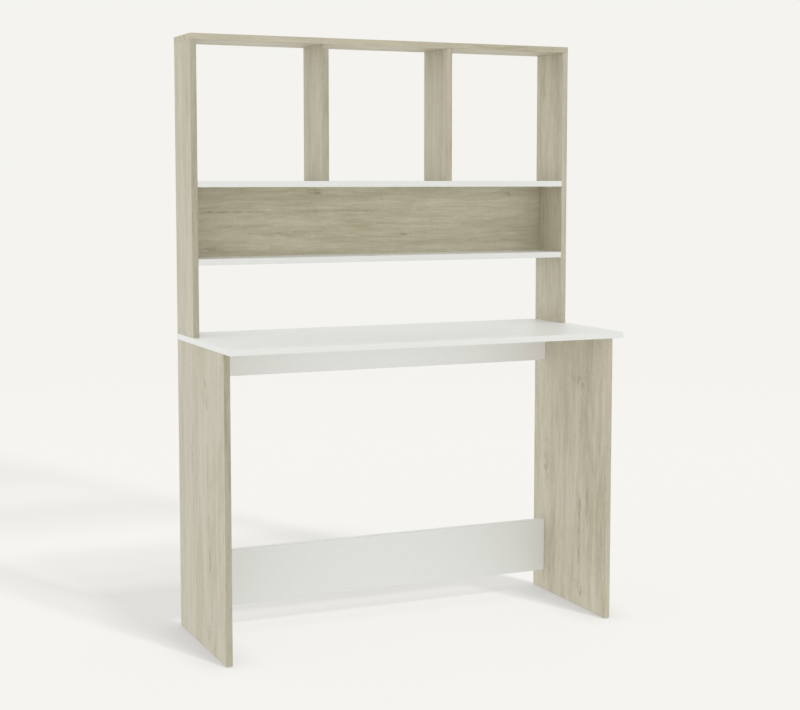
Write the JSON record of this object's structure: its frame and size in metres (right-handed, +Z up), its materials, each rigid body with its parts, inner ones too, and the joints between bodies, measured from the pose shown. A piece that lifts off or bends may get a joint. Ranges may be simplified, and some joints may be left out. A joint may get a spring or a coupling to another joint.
{
  "type": "student desk with hutch",
  "caption": "Writing desk of flat oak-look panel legs and white top on two rails, with an open shelved hutch standing along its rear edge.",
  "frame": {"origin": "on the floor under the middle of the desktop", "axes": "+Z up, the front faces -Y, +X to the sitter's right"},
  "size_m": [1.038, 0.43, 1.484],
  "materials": {
    "oak_board": "oak-look melamine facing on particle board, matt with fine grain",
    "white_board": "white melamine facing on particle board, satin",
    "oak_band": "oak-look edge band, matt",
    "white_band": "white edge band, satin",
    "plated_steel": "zinc-plated steel",
    "zinc_casting": "bare die-cast zinc",
    "beech": "raw turned beech",
    "oak_cap": "oak-coloured moulded cap",
    "white_cap": "white moulded cap",
    "glide_plastic": "pale polyethylene"
  },
  "bodies": {
    "root": {"apron_cam_bolts": "plated_steel", "apron_cam_nuts": "zinc_casting", "apron_dowels": "beech", "apron_rail": "white_board", "apron_rail_bands": "white_band", "apron_top_cam_bolts": "plated_steel", "apron_top_cam_nuts": "zinc_casting", "apron_top_dowels": "beech", "back_panel_cam_bolts": "plated_steel", "back_panel_cam_nuts": "zinc_casting", "back_panel_dowels": "beech", "desktop_panel": "white_board", "desktop_panel_bands": "white_band", "divider_dowels": "beech", "divider_screw_caps": "white_cap", "divider_screws": "plated_steel", "floor_glides": "glide_plastic", "glide_nails": "plated_steel", "hutch_back_panel": "oak_board", "hutch_foot_cam_bolts": "plated_steel", "hutch_foot_cam_caps": "oak_cap", "hutch_foot_cam_nuts": "zinc_casting", "hutch_foot_dowels": "beech", "hutch_left_side": "oak_board", "hutch_left_side_bands": "oak_band", "hutch_right_side": "oak_board", "hutch_right_side_bands": "oak_band", "hutch_top_dowels": "beech", "hutch_top_panel": "oak_board", "hutch_top_panel_bands": "oak_band", "hutch_top_screw_caps": "oak_cap", "hutch_top_screws": "plated_steel", "left_divider": "oak_board", "left_divider_bands": "oak_band", "left_leg_panel": "oak_board", "left_leg_panel_bands": "oak_band", "leg_cam_bolts": "plated_steel", "leg_cam_caps": "oak_cap", "leg_cam_nuts": "zinc_casting", "leg_dowels": "beech", "lower_shelf": "white_board", "lower_shelf_bands": "white_band", "right_divider": "oak_board", "right_divider_bands": "oak_band", "right_leg_panel": "oak_board", "right_leg_panel_bands": "oak_band", "shelf_cam_bolts": "plated_steel", "shelf_cam_caps": "white_cap", "shelf_cam_nuts": "zinc_casting", "shelf_dowels": "beech", "stretcher_cam_bolts": "plated_steel", "stretcher_cam_nuts": "zinc_casting", "stretcher_dowels": "beech", "stretcher_rail": "white_board", "stretcher_rail_bands": "white_band", "upper_shelf": "white_board", "upper_shelf_bands": "white_band"}
  },
  "joints": []
}
